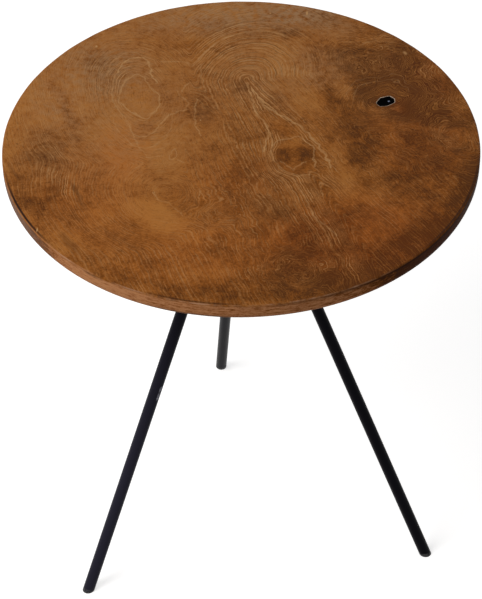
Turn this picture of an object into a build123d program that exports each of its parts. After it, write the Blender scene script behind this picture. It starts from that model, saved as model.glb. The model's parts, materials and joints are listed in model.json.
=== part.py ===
from build123d import *
from math import atan2, cos, radians, sin
import os

# Side table: a round wooden top on three splayed steel bars.
# Millimetres, +Z up, origin on the floor under the middle of the top.
# The back leg points along +Y, and the other two follow at equal turns.

# Overall sizes
table_height = 500.0
top_diameter = 450.0
top_thickness = 20.0
top_arris_chamfer = 1.2
under_edge_radius = 10.0

# Open knot in the top, filled with black resin that sank a little while it cured.
# Its middle is placed by its bearing and its distance in from the rim.
knot_length = 18.5
knot_width = 13.0
knot_floor_thickness = 11.0
knot_rim_distance = 73.7
knot_bearing = 15.9
knot_turn = 20.8
knot_corner_radius = 2.4
knot_fill_sink = 0.4
# Corners of the knot's outline, as shares of its half length and half width
knot_outline_shares = (
    (1.00, -0.10),
    (0.80, 0.82),
    (-0.22, 1.00),
    (-0.98, 0.34),
    (-0.92, -0.64),
    (-0.16, -1.00),
    (0.74, -0.84),
)

# Legs: straight round bars, each foot a little way in from the rim of the top
leg_names = ("back", "left", "right")
first_leg_bearing = 90.0
leg_diameter = 12.0
foot_rim_distance = 18.0

# Foot glides: a level pad under each bar, with a stem pushed up the bar's end
glide_thickness = 2.5
glide_stem_diameter = 5.0
glide_stem_length = 12.0
glide_hole_spare_depth = 1.0
glide_stem_clearance = 0.05

# Mounting plate, screwed flat to the underside of the top
plate_diameter = 120.0
plate_thickness = 3.0

# Leg sockets: short round bosses welded to the plate, close together at its middle
socket_diameter = 16.0
socket_gap = 5.2
socket_roof_thickness = 11.5

# Studs, half in the socket and half in the bar
stud_diameter = 8.0
stud_length = 30.0
stud_hole_spare_depth = 1.5
stud_clearance = 0.05

# Screws that hold the plate to the top, their countersunk heads as deep as the plate is thick
screw_count = 3
screw_rim_distance = 13.0
screw_cover = 7.0
screw_shank_diameter = 6.0
screw_head_diameter = 12.0
screw_tip_length = 5.0
screw_clearance = 0.05

# How far a cutting solid reaches past what it cuts
cut_overrun = 5.0

# A solid placed with its base, and not its middle, at a point
on_base = (Align.CENTER, Align.CENTER, Align.MIN)

# Derived sizes
full_turn = 360.0
leg_spacing = full_turn / len(leg_names)
top_radius = top_diameter / 2
leg_radius = leg_diameter / 2
socket_radius = socket_diameter / 2
foot_radius = top_radius - foot_rim_distance
underside_z = table_height - top_thickness
plate_bottom_z = underside_z - plate_thickness
knot_depth = top_thickness - knot_floor_thickness
screw_length = plate_thickness + top_thickness - screw_cover
screw_circle_radius = plate_diameter / 2 - screw_rim_distance
# The legs' axes cross the plate's lower face on a circle that keeps neighbouring sockets apart
hub_radius = (socket_diameter + socket_gap) / (2 * sin(radians(leg_spacing / 2)))
splay = atan2(foot_radius - hub_radius, plate_bottom_z)
# Distances along a leg's axis are measured from the floor
axis_to_glide_top = glide_thickness / cos(splay)
axis_to_plate = plate_bottom_z / cos(splay)
axis_to_seat = axis_to_plate - socket_roof_thickness - stud_hole_spare_depth - stud_length / 2


def rod_along_leg(index, radius, start, end):
    """Round bar on a leg's axis, between two distances from the floor."""
    bearing = radians(first_leg_bearing + index * leg_spacing)
    outward = Vector(cos(bearing), sin(bearing), 0)
    sideways = Vector(sin(bearing), -cos(bearing), 0)
    upward = Vector(0, 0, cos(splay)) - outward * sin(splay)
    floor_plane = Plane(origin=outward * foot_radius, x_dir=sideways, z_dir=upward)
    return floor_plane.offset(start) * Cylinder(radius, end - start, align=on_base)


def slab(low_z, high_z):
    """Level slab as wide as the table, which keeps what lies between two heights."""
    side = top_diameter + cut_overrun
    return Pos(0, 0, low_z) * Box(side, side, high_z - low_z, align=on_base)


def screw_places():
    """Centres of the screw heads on the plate's lower face, clear of the legs' bearings."""
    start = first_leg_bearing + full_turn / screw_count / 2
    spots = PolarLocations(screw_circle_radius, screw_count, start_angle=start)
    return [Pos(0, 0, plate_bottom_z) * spot for spot in spots]


def knot_face():
    """Irregular outline of the knot, at the height of its floor."""
    points = [(knot_length / 2 * u, knot_width / 2 * v) for u, v in knot_outline_shares]
    outline = make_face(FilletPolyline(*points, radius=knot_corner_radius, close=True))
    middle = Rot(0, 0, knot_bearing) * Pos(top_radius - knot_rim_distance, 0, table_height - knot_depth)
    return middle * Rot(0, 0, knot_turn - knot_bearing) * outline


def make_knot_fill():
    return extrude(knot_face(), knot_depth - knot_fill_sink)


def make_table_top():
    """Round slab with its upper arris taken off and its lower edge rounded."""
    top = Pos(0, 0, underside_z) * Cylinder(top_radius, top_thickness, align=on_base)
    upper_rim = top.edges().filter_by(GeomType.CIRCLE).sort_by(Axis.Z)[-1]
    top = chamfer(upper_rim, top_arris_chamfer)
    lower_rim = top.edges().filter_by(GeomType.CIRCLE).sort_by(Axis.Z)[0]
    top = fillet(lower_rim, under_edge_radius)
    pocket = extrude(knot_face(), knot_depth + cut_overrun)
    return top - pocket - screw_holes()


def screw_body(clearance):
    """One countersunk screw, head down on the ground plane, made larger all round by a clearance."""
    head_radius = screw_head_diameter / 2 + clearance
    shank_radius = screw_shank_diameter / 2 + clearance
    half_outline = Polyline(
        (0, 0),
        (head_radius, 0),
        (shank_radius, plate_thickness),
        (shank_radius, screw_length - screw_tip_length),
        (0, screw_length + clearance),
        close=True,
    )
    return revolve(Plane.XZ * make_face(half_outline), Axis.Z)


def screw_holes():
    return [place * screw_body(screw_clearance) for place in screw_places()]


def make_plate_screws():
    return [place * screw_body(0) for place in screw_places()]


def make_mounting_plate():
    plate = Pos(0, 0, plate_bottom_z) * Cylinder(plate_diameter / 2, plate_thickness, align=on_base)
    return plate - screw_holes()


def make_socket(index):
    """Boss cut off along the plate, with a blind bore from its lower end."""
    boss = rod_along_leg(index, socket_radius, axis_to_seat, axis_to_plate + socket_diameter)
    boss = boss & slab(0, plate_bottom_z)
    bore_end = axis_to_seat + stud_length / 2 + stud_hole_spare_depth
    bore = rod_along_leg(index, stud_diameter / 2 + stud_clearance, axis_to_seat - cut_overrun, bore_end)
    return boss - bore


def make_stud(index):
    half = stud_length / 2
    return rod_along_leg(index, stud_diameter / 2, axis_to_seat - half, axis_to_seat + half)


def make_leg(index):
    """Bar from its seat on the socket down to the glide, cut off level, with a hole in each end."""
    bar = rod_along_leg(index, leg_radius, -leg_diameter, axis_to_seat) & slab(glide_thickness, table_height)
    stud_hole_end = axis_to_seat - stud_length / 2 - stud_hole_spare_depth
    stud_hole_radius = stud_diameter / 2 + stud_clearance
    stud_hole = rod_along_leg(index, stud_hole_radius, stud_hole_end, axis_to_seat + cut_overrun)
    stem_hole_end = axis_to_glide_top + glide_stem_length + glide_hole_spare_depth
    stem_hole_radius = glide_stem_diameter / 2 + glide_stem_clearance
    stem_hole = rod_along_leg(index, stem_hole_radius, -leg_diameter, stem_hole_end)
    return bar - stud_hole - stem_hole


def make_foot_glide(index):
    """Pad of the bar's own section between the floor and the bar, with its stem."""
    pad = rod_along_leg(index, leg_radius, -leg_diameter, leg_diameter) & slab(0, glide_thickness)
    stem = rod_along_leg(index, glide_stem_diameter / 2, 0, axis_to_glide_top + glide_stem_length)
    return pad + (stem & slab(glide_thickness / 2, table_height))


def write(node, shape):
    """Save one node: a single solid, or a list of alike pieces kept as separate solids."""
    pieces = shape if isinstance(shape, list) else [shape]
    solids = [solid for piece in pieces for solid in piece.solids()]
    saved = solids[0] if len(solids) == 1 else Compound(children=solids)
    saved.label = node
    export_step(saved, os.path.join("parts", node + ".step"))


os.makedirs("parts", exist_ok=True)
write("table_top", make_table_top())
write("knot_fill", make_knot_fill())
write("mounting_plate", make_mounting_plate())
write("plate_screws", make_plate_screws())
for leg_index, leg_name in enumerate(leg_names):
    write("leg_socket_" + leg_name, make_socket(leg_index))
    write("leg_stud_" + leg_name, make_stud(leg_index))
    write("leg_" + leg_name, make_leg(leg_index))
    write("foot_glide_" + leg_name, make_foot_glide(leg_index))
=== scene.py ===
from functools import partial, reduce
import json
import math

import bmesh
import bpy
from mathutils import Matrix, Vector, noise
from mathutils.geometry import delaunay_2d_cdt


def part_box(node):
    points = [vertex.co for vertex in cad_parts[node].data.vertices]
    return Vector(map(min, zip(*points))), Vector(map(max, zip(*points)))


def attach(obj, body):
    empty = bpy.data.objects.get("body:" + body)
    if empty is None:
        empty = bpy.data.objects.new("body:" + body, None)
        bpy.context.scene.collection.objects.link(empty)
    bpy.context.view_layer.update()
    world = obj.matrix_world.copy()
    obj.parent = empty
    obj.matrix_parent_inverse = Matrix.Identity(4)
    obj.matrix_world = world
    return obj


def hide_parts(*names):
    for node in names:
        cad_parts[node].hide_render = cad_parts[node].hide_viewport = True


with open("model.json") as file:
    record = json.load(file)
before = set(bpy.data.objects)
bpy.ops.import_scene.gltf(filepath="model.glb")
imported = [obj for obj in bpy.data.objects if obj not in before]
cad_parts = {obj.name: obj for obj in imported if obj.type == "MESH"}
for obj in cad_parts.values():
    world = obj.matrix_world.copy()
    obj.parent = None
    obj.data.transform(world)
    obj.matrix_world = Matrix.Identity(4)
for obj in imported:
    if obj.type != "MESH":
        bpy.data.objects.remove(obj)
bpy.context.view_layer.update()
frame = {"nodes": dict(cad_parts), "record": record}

# Lengths are in metres unless a name ends in MM. The grain is worked out in millimetres
# from the middle of the top's upper face, with X to the right and Y towards the back leg.
MM = 0.001

# The photograph's frame and the camera that took it
PHOTO_WIDTH_PX = 482
PHOTO_HEIGHT_PX = 599
FOCAL_LENGTH_PX = 2341.7
OPTICAL_CENTRE_PX = (244.5, 299.8)
SENSOR_SIZE_MM = 36.0
CAMERA_BEARING = math.radians(-97.2)
CAMERA_ELEVATION = math.radians(43.125)
CAMERA_ROLL = math.radians(-0.60)
CAMERA_DISTANCE = 2.3456
AIM_HEIGHT = 0.2962
AIM_RIGHT = 0.0017
CAMERA_REACH = 100.0

TOP_LOW, TOP_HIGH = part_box("table_top")
TOP_RADIUS = TOP_HIGH.x
TOP_THICKNESS = TOP_HIGH.z - TOP_LOW.z
PLATE_LOW, PLATE_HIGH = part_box("mounting_plate")
SIDES = ("back", "left", "right")
# Corners closer in height than this lie at one level
SAME_LEVEL = 0.01 * MM
# Points of a flat face closer than this are one
POINT_MERGE = 1e-9
# The kind of triangulation that leaves holes open
WITHOUT_HOLES = 2

# Edge of the top: an arris eased by hand and a round under edge
ARRIS_WIDTH = 1.2 * MM
ARRIS_WANDER = 0.45 * MM
UNDER_EDGE_RADIUS = 10 * MM
RIM_WANDER = 0.15 * MM
RIM_SEGMENTS = 288
ARRIS_STEPS = 4
UNDER_EDGE_STEPS = 8
# Wanderings round a circle: about how many swings, and the noise's seed
ARRIS_WAVES = (30, 3.1)
RIM_WAVES = (12, 7.7)
LIP_WAVES = (6, 1.7)
BEAD_WAVES = (9, 5.0)
# Spare points in the top's flat: rings as shares of its radius, clear of the knot
SPARE_SHARES = (0.25, 0.5, 0.75, 0.92)
SPARE_COUNT = 60
SPARE_CLEARANCE = 20 * MM

# Knot: the bare lip round it and the resin's skin, which creeps up the wall
LIP_WIDTH = 0.8 * MM
LIP_WANDER = 0.35 * MM
LIP_DEPTH = 0.35 * MM
RESIN_GAP = 0.02 * MM
RESIN_CREEP = 0.3 * MM
RESIN_DIP = 0.25 * MM
RESIN_RIPPLE = 0.06 * MM
RESIN_RIPPLE_SIZE = 4 * MM
# Rings of the skin: shares of the outline, and heights over the CAD's upper face
RESIN_SKIN = (
    (1.0, RESIN_CREEP),
    (0.97, 0.4 * RESIN_CREEP),
    (0.92, 0.1 * RESIN_CREEP),
    (0.82, -0.2 * RESIN_DIP),
    (0.65, -0.55 * RESIN_DIP),
    (0.4, -0.85 * RESIN_DIP),
    (0.15, -RESIN_DIP),
)

# Weld beads round the sockets
BEAD_RADIUS = 1.3 * MM
BEAD_RIPPLE = 0.16 * MM
BEAD_RIPPLES = 34
BEAD_SEGMENTS = 204
BEAD_SIDES = 10
BEAD_WANDER = 0.2 * MM
BEAD_STAND_OFF = 0.2 * BEAD_RADIUS

# Screws: the arms of a recess keep a share of their width towards its floor
SCREW_SEGMENTS = 48
SCREW_TIP_SHARE = 0.4
SCREW_TIP_RADIUS = 0.1 * MM
SCREW_FIRST_TURN = 0.6
SCREW_TURN_STEP = 1.9
SCREW_RECESS_REACH = 3.4 * MM
SCREW_RECESS_ARM = 0.75 * MM
SCREW_RECESS_DEPTH = 1.9 * MM
SCREW_RECESS_FLOOR = 0.35
SCREW_ARM_KEPT = 0.4
SCREW_EDGE = 0.25 * MM


class Nodes:
    """A node tree: most methods add a node and return its output."""

    def __init__(self, owner):
        owner.use_nodes = True
        self.tree = owner.node_tree
        self.tree.nodes.clear()

    def node(self, kind, inputs, **settings):
        made = self.tree.nodes.new("ShaderNode" + kind)
        for key, value in settings.items():
            setattr(made, key, value)
        for key, value in inputs.items():
            if isinstance(value, bpy.types.NodeSocket):
                self.tree.links.new(value, made.inputs[key])
            else:
                made.inputs[key].default_value = value
        return made

    def math(self, operation, *values):
        return self.node("Math", dict(enumerate(values)), operation=operation).outputs[0]


class Shade(Nodes):
    """One material under construction."""

    def __init__(self, name):
        self.material = bpy.data.materials.new(name)
        super().__init__(self.material)

    def linear(self, value, factor, offset):
        return self.math("MULTIPLY_ADD", value, factor, offset)

    def add(self, *values):
        return reduce(partial(self.math, "ADD"), values)

    def less(self, value, taken):
        return self.math("SUBTRACT", value, taken)

    def times(self, *values):
        return reduce(partial(self.math, "MULTIPLY"), values)

    def positive(self, value):
        return self.math("MAXIMUM", value, 0.0)

    def vector(self, operation, *values):
        made = self.node("VectorMath", dict(enumerate(values)), operation=operation)
        return made.outputs["Value" if operation in ("LENGTH", "DOT_PRODUCT") else "Vector"]

    def length(self, vector):
        return self.vector("LENGTH", vector)

    def shifted(self, *vectors):
        return reduce(partial(self.vector, "ADD"), vectors)

    def scaled(self, vector, factor):
        made = self.node("VectorMath", {"Vector": vector, "Scale": factor}, operation="SCALE")
        return made.outputs["Vector"]

    def split(self, vector):
        return self.node("SeparateXYZ", {"Vector": vector}).outputs

    def join(self, x, y, z):
        return self.node("CombineXYZ", {"X": x, "Y": y, "Z": z}).outputs["Vector"]

    def turned(self, vector, degrees):
        turn = (0.0, 0.0, math.radians(degrees))
        return self.node("Mapping", {"Vector": vector, "Rotation": turn}).outputs["Vector"]

    def step(self, value, low, high, to_low=0.0, to_high=1.0):
        """Smooth step: to_low at and below `low`, to_high at and above `high`."""
        inputs = {"Value": value, "From Min": low, "From Max": high, "To Min": to_low, "To Max": to_high}
        made = self.node("MapRange", inputs, interpolation_type="SMOOTHSTEP", clamp=True)
        return made.outputs["Result"]

    def fade(self, value, low, high, start=1.0):
        """Smooth step down: `start` at and below `low`, 0 at and above `high`."""
        return self.step(value, low, high, start, 0.0)

    def band(self, value, start, full, last, end):
        """1 from `full` to `last`, with soft ends that reach out to `start` and `end`."""
        return self.times(self.step(value, start, full), self.fade(value, last, end))

    def noise(self, place, size, detail=2.0, rough=0.5, key="Vector", **settings):
        """Soft noise from 0 to 1 whose lumps are about `size` across, in the units of `place`."""
        inputs = {key: place, "Scale": 1 / size, "Detail": detail, "Roughness": rough}
        return self.node("TexNoise", inputs, **settings).outputs[0]

    def noise_along(self, value, *sizes):
        """Noise from 0 to 1 along one value."""
        return self.noise(value, *sizes, key="W", noise_dimensions="1D")

    def drift(self, place, size, reach):
        """A wandering offset, mostly shorter than `reach`, in lumps of about `size`."""
        made = self.node("TexNoise", {"Vector": place, "Scale": 1 / size, "Detail": 2.0})
        parts = self.node("SeparateColor", {"Color": made.outputs[1]}).outputs
        span = self.math("MULTIPLY", reach, 4.0)
        start = self.math("MULTIPLY", reach, -2.0)
        across, along = (self.linear(part, span, start) for part in parts[:2])
        return self.join(across, along, 0.0)

    def ellipse_place(self, place, centre, halves, turn=0.0):
        """The place in an ellipse's own axes and its reach from the middle, both 1 on the ellipse."""
        c, s = math.cos(math.radians(turn)), math.sin(math.radians(turn))
        offset = self.vector("SUBTRACT", place, (*centre, 0.0))
        u = self.vector("DOT_PRODUCT", offset, (c / halves[0], s / halves[0], 0.0))
        v = self.vector("DOT_PRODUCT", offset, (-s / halves[1], c / halves[1], 0.0))
        across = self.join(u, v, 0.0)
        return across, self.length(across)

    def ellipse(self, place, centre, halves, turn=0.0):
        """Reach from an ellipse's middle: 1 on the ellipse."""
        return self.ellipse_place(place, centre, halves, turn)[1]

    def spots(self, place, table):
        """Soft spots added together, each an ellipse with a strength."""
        total = 0.0
        for x, y, half_across, half_along, strength, *turn in table:
            reach = self.ellipse(place, (x, y), (half_across, half_along), *turn)
            total = self.add(total, self.fade(reach, *SPOT_EDGE, strength))
        return total

    def covered(self, place, table):
        """Soft spots added together, at most 1."""
        return self.math("MINIMUM", self.spots(place, table), 1.0)

    def mix(self, share, a, b, blend="MIX"):
        ends = [(*end, 1.0) if isinstance(end, tuple) else end for end in (a, b)]
        inputs = {"Factor": share, 6: ends[0], 7: ends[1]}
        made = self.node("Mix", inputs, data_type="RGBA", blend_type=blend, clamp_factor=True)
        return made.outputs[2]

    def over(self, under, colour, *shares):
        """A colour laid over another by the product of the shares."""
        return self.mix(self.times(*shares), under, colour)

    def ramp(self, value, stops):
        made = self.node("ValToRGB", {"Fac": value})
        elements = made.color_ramp.elements
        while len(elements) < len(stops):
            elements.new(1.0)
        for element, (position, colour) in zip(elements, stops):
            element.position = position
            element.color = (*colour, 1.0)
        return made.outputs["Color"]

    def bump(self, height, strength, distance, normal=None):
        inputs = {"Height": height, "Strength": strength, "Distance": distance}
        if normal is not None:
            inputs["Normal"] = normal
        return self.node("Bump", inputs).outputs["Normal"]

    def finish(self, inputs):
        """Give the material its surface and return it."""
        surface = self.node("BsdfPrincipled", inputs)
        self.node("OutputMaterial", {"Surface": surface.outputs["BSDF"]})
        return self.material

    def object_mm(self, height=0.0):
        """The point's place in millimetres, from a height in metres on the table's axis."""
        place = self.node("TexCoord", {}).outputs["Object"]
        return self.scaled(self.vector("SUBTRACT", place, (0.0, 0.0, height)), 1 / MM)


# A soft spot is whole within the first share of its ellipse and gone at the second
SPOT_EDGE = (0.25, 1.25)
# A pale line is whole within this share of its width
LINE_CORE = 0.3

# Figure of the wood. Each growth eye has a centre, half sizes, a turn in degrees, the growth
# that lies between its middle and that ellipse, and the growth at its middle.
# An arch has a heart, the lean of its axis below the heart and above it, and its crown's flatness.
ARCH = ((18.0, 92.0), 0.25, 0.21, 0.78)
ARCH_SPREADS = (0.05, 0.2)
ARCH_SEAM = 12.0
ARCH_START = 36.0
OUTER_ARCH = ((-40.0, 60.0), 0.2, 0.0, 0.9)
OUTER_RATE = 0.8
OUTER_START = 62.0
GROWTH_EYES = (
    ((-87, 84), (21, 37), 8, 34, 0),
    ((49, -30), (24, 32), 8, 44, 0),
    ((145.4, 41.4), (13, 10), 20.8, 22, 6),
    ((30, -184), (20, 16), -20, 32, 10),
    ((-58, 92), (9, 22), 0, 26, 34),
    ((-66, -9), (6, 11), -12, 20, 46),
    ((-31, 32), (9, 16), -10, 22, 40),
    ((-78, -62), (20, 24), 30, 26, 48),
    ((-28, -98), (18, 14), 0, 26, 50),
    ((160, 104), (18, 22), 30, 34, 40),
    ((128, 96), (14, 26), 10, 30, 44),
    ((200, -20), (16, 30), 20, 30, 50),
    ((58, -118), (9, 26), 24, 26, 60),
)
EYE_BLEND = 9.0

# Single pale lines: centre, half sizes, a turn in degrees, the line's width, its strength and
# the bearing of the side of the ellipse that shows, or None where the line is closed
RING_LINES = (
    ((-88, 92), (29, 62), 4, 0.9, 0.5, 100),
    ((-87, 66), (30, 61), 0, 0.9, 0.45, -90),
    ((-66.5, -9), (3.2, 6.6), -15, 1.1, 0.6, None),
    ((142, 52), (26, 22), 10, 1, 0.4, 100),
    ((143, 54), (33, 28), 10, 1, 0.4, 95),
)
# Where the side that shows ends, from none of the line to all of it, as shares of the reach
RING_END = (-0.3, 0.5)
# Crooked pale lines: a width, a strength and the corners that they pass
CROOKED_LINES = (
    (1.2, 0.8, (
        (-105, 97), (-97, 111), (-89, 115), (-82, 109), (-76, 94), (-69, 79),
        (-68, 68), (-72, 58), (-81, 49), (-88, 50), (-99, 64), (-107, 80), (-105, 97),
    )),
    (1.4, 0.9, ((-107, 121), (-101, 136), (-92, 144), (-78, 143), (-75, 132), (-71, 100))),
    (1.1, 0.6, (
        (-115, 90), (-108, 61), (-100, 32), (-94, 22), (-87, 20), (-79, 26),
        (-64, 48), (-46, 55), (-43, 63), (-51, 85),
    )),
    (0.9, 0.5, ((-110, 118), (-114, 96), (-110, 66), (-103, 53), (-92, -9), (-79, -8))),
    (1.1, 0.6, ((-62, 134), (-47, 132), (-37, 127))),
    (1.4, 0.5, ((-24, 124), (-26, 86))),
    (1.6, 0.7, ((-46, 83), (-43, 92), (-39, 95))),
    (1, 0.6, ((-34, 69), (-39, 49), (-38, 29), (-35, 16))),
    (1.3, 0.6, ((-63, -18), (-58, -22))),
    (1, 0.55, ((-89, -60), (-87, -70), (-76, -77), (-66, -96))),
    (1.3, 0.75, ((29, -12), (35, -4), (55, -1), (67, -16), (65, -43))),
    (1.1, 0.6, ((34, -34), (45, -48), (56, -35))),
    (1.1, 0.55, ((27, -16), (30, -40), (45, -58), (60, -56))),
    (1.6, 0.9, ((25, 71), (31, 50), (54, 20), (66, 3), (76, -32), (77, -50))),
    (1.5, 0.8, ((17, 88), (21, 36), (27, 19), (25, 2), (21, -16))),
    (0.9, 0.5, ((38, 117), (44, 90), (50, 55), (64, 20))),
    (1.6, 0.4, ((48, -94), (52, -116), (66, -144))),
)

# Tables of soft spots: centre, half sizes across and along, strength, and a turn in degrees if any.
# Where the grain curls
CURLY_PLACES = (
    (165, 95, 60, 75, 1),
    (185, -10, 50, 80, 0.55),
    (-35, -95, 70, 60, 0.5),
    (25, -185, 60, 40, 0.9),
    (115, -30, 60, 60, 0.35),
)
# Where the pale growth lines show most, and where they stay out
LINED_PLACES = (
    (-96, 122, 40, 50, 0.6),
    (-122, 90, 16, 60, 0.5, 6),
    (16, 120, 62, 90, 1),
    (34, -20, 46, 100, 0.9, 12),
    (52, -120, 22, 90, 0.6, 14),
    (165, 85, 60, 80, 0.95),
    (-30, -80, 56, 70, 0.25),
    (200, -10, 35, 60, 0.35),
    (-174, -16, 14, 46, 0.75, 14),
    (30, -186, 60, 34, 0.35),
)
PLAIN_PLACES = (
    (42, 14, 13, 24, 1, 28),
    (-50, 40, 26, 90, 0.7),
    (-80, -80, 40, 70, 0.5),
)
# Darker wood in spots; on the right of the top they are partly painted shade
DARK_PLACES = (
    (-122, 128, 20, 46, 0.2, 12),
    (-182, 12, 34, 26, 0.34, 20),
    (-192, -48, 34, 20, 0.2, 10),
    (-208, -40, 20, 60, 0.2, 8),
    (-188, -84, 24, 30, 0.2, 20),
    (-162, -40, 34, 44, 0.16, 12),
    (-161, 78, 6, 62, 0.2, 8),
    (-155, 42, 10, 30, 0.14, 8),
    (150, 62, 66, 40, 0.24),
    (196, 36, 24, 40, 0.16),
    (196, -96, 14, 80, 0.3, -30),
    (-30, 62, 14, 46, 0.2),
    (10, 86, 9, 14, 0.26),
    (1, -28, 14, 42, 0.2),
    (1, -128, 16, 18, 0.1),
    (72, 162, 12, 10, 0.3),
    (123, 115, 22, 32, 0.34),
    (167, 98, 32, 42, 0.36),
    (142, 56, 30, 24, 0.36),
    (182, 60, 18, 16, 0.34),
    (180, 14, 42, 20, 0.46, -24),
    (170, 30, 34, 22, 0.3, -10),
    (112, 7, 24, 36, 0.26, 20),
    (106, -28, 20, 24, 0.24),
    (172, -50, 34, 44, 0.2),
    (134, -73, 16, 14, 0.26, 20),
    (78, -36, 12, 30, 0.16, 14),
    (15, -100, 26, 26, 0.1),
    (34, -150, 22, 30, 0.3),
    (74, -132, 24, 24, 0.22),
    (46, -182, 60, 30, 0.22),
    (10, -206, 100, 22, 0.2),
    (-15, -188, 20, 14, 0.14),
    (88, 38, 20, 22, 0.1),
    (130, -176, 90, 26, 0.26, 36),
    (-75, -60, 16, 16, 0.16),
    (-110, -185, 60, 20, 0.2, -30),
)
# Short dark streaks along the grain
DARK_STREAKS = (
    (-160, -48, 2.4, 15, 0.6, 20),
    (-155, -70, 2.4, 15, 0.25, 16),
    (-213, -14, 3, 16, 0.4, 22),
    (-171, -122, 5, 22, 0.45, 24),
    (139, 68, 1.6, 6, 0.8, -14),
)
# The two dark hearts of the right-hand eye
HEART_PLACES = (
    (38, -25, 11, 13, 0.24),
    (60, -28, 10, 11, 0.24),
    (49, -30, 22, 20, 0.14),
)
GOLDEN_PLACES = (
    (-190, 100, 26, 50, 0.2, 20),
    (-112, 10, 26, 70, 0.3, 10),
    (-84, -100, 20, 64, 0.36, 42),
    (72, 60, 22, 66, 0.24, 18),
    (107, 66, 12, 16, 0.3),
    (82, -42, 14, 60, 0.3, 12),
    (20, 208, 90, 16, 0.3),
    (-88, 80, 20, 34, 0.16),
    (111, -92, 40, 16, 0.18, 10),
    (101, -145, 30, 18, 0.14, 10),
    (64, 124, 30, 46, 0.3, 24),
    (25, 118, 22, 26, 0.16),
    (-70, 10, 34, 40, 0.2),
    (200, 20, 18, 30, 0.16),
    (155, 32, 7, 7, 0.5, 30),
    (-57, -178, 30, 18, 0.14),
    (-68, -34, 34, 50, 0.12),
    (-122, 70, 36, 44, 0.1),
)
RED_PLACES = (
    (-150, -60, 60, 80, 0.4),
    (-110, 4, 30, 50, 0.4),
    (-20, -150, 140, 60, 0.5),
    (170, -20, 60, 90, 0.6),
    (155, 36, 10, 12, 0.8, 30),
    (147, 57, 8, 6, 0.6),
    (100, -150, 100, 70, 1),
    (195, 75, 20, 50, 0.5, 20),
    (172, 70, 44, 60, 0.4),
    (-10, -60, 60, 50, 0.4),
)
# Greyer wood, with painted sheen at the back of the top
GREY_AND_SHEEN_PLACES = (
    (45, 180, 80, 34, 0.4),
    (-122, 130, 34, 40, 0.5, 20),
    (-190, 10, 40, 50, 0.35),
    (14, -92, 26, 34, 0.3),
)
# Where the wood looks paler and dustier, worn oil and painted sheen, most towards the back
DUSTY_AND_SHEEN_PLACES = (
    (20, 200, 130, 34, 0.9),
    (100, 178, 50, 26, 0.7, -30),
    (-125, 140, 56, 60, 0.46, 20),
    (40, 110, 60, 80, 0.3),
    (92, 104, 36, 40, 0.36),
    (-176, 84, 24, 50, 0.3, 20),
    (-110, 60, 110, 120, 0.34),
)
# Round the slab's side: stretches of painted light and painted shade, a painted reflection on the left,
# dirt and painted shade under the arris, and a dark line of dirt and painted shade on it
RIM_LIT_PLACES = (
    (-150, -166, 60, 26, 0.4, -42),
    (-80, -210, 50, 26, 0.2, -18),
    (10, -224, 80, 16, 0.16),
)
RIM_SHADE_PLACES = (
    (-214, -70, 30, 90, 0.4, 10),
    (190, -120, 50, 150, 1, -32),
    (116, -194, 40, 40, 0.3),
)
RIM_REFLECTION_PLACES = (
    (-214, -60, 30, 70, 0.7, 10),
)
GRIME_AND_SHADE_PLACES = (
    (150, -164, 130, 50, 1, 42),
    (40, -222, 60, 14, 0.4),
)
DARK_LINE_RADIUS = 223.2
DARK_LINE_PLACES = (
    (-211, -70, 16, 60, 1, 18),
    (-70, -214, 50, 16, 0.6, -18),
    (190, -118, 20, 100, 0.8, -32),
)
PALE_CHIPS = (
    (-199, -98, 0.8, 3.4, 1, -10),
    (92.5, 193.2, 1, 4, 1, -10),
    (56, 198, 1.2, 1.2, 0.7),
    (-122, 168, 1.4, 2.4, 0.8),
    (178, 114, 2, 3.4, 0.6, 20),
    (-34, 38, 1, 1.2, 0.8),
)

WOOD_UMBER = (0.075, 0.023, 0.0038)
WOOD_BROWN = (0.156, 0.047, 0.0055)
WOOD_TAN = (0.252, 0.083, 0.0135)
WOOD_GOLD = (0.345, 0.132, 0.027)
WOOD_RED = (0.265, 0.068, 0.008)
WOOD_GREY = (0.150, 0.075, 0.028)
WOOD_DUST_AND_SHEEN = (0.290, 0.155, 0.072)
WOOD_PALE = (0.450, 0.245, 0.098)
WOOD_DIRT_AND_SHADE = (0.024, 0.009, 0.0045)
RIM_BLACK = (0.036, 0.010, 0.0035)
RIM_TAN = (0.265, 0.098, 0.036)
RIM_PALE = (0.420, 0.190, 0.082)
RIM_REFLECTION_GREY = (0.165, 0.100, 0.070)
ARRIS_HIGHLIGHT = (0.360, 0.200, 0.120)
GROUND_STOPS = ((0.0, WOOD_UMBER), (0.28, WOOD_BROWN), (0.54, WOOD_TAN), (0.95, WOOD_GOLD))
# The rim's darkest colours are reached mostly in its painted shade
RIM_STOPS = ((0.0, RIM_BLACK), (0.2, WOOD_UMBER), (0.4, WOOD_BROWN), (0.62, RIM_TAN), (1.0, RIM_PALE))
# What the red wood's colour is multiplied by where the ground is darkest and lightest
RED_DARKENED = (0.35, 0.33, 0.30)
RED_LIGHTENED = (1.30, 1.35, 1.50)
TOP_SPECULAR = 0.045
SIDE_SPECULAR = 0.01
# The slab is darker towards its right, darker wood and painted shade, and paler towards its back, paler
# wood and painted sheen
RIGHT_SHADE_SLOPE = 0.0009
BACK_SHEEN_SLOPE = 0.0005
# Sizes of the mottling's parts, and the brush strokes' length, width and turn in degrees
MOTTLE_SIZE = 34.0
PATCH_SIZE = 22.0
BLOTCH_SIZE = 7.0
BLOTCH_SHIFT = (300.0, 80.0, 0.0)
GRIT_SIZE = 1.9
BRUSH_STROKE = (70.0, 9.0)
BRUSHED_TURN = 35.0
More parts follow.
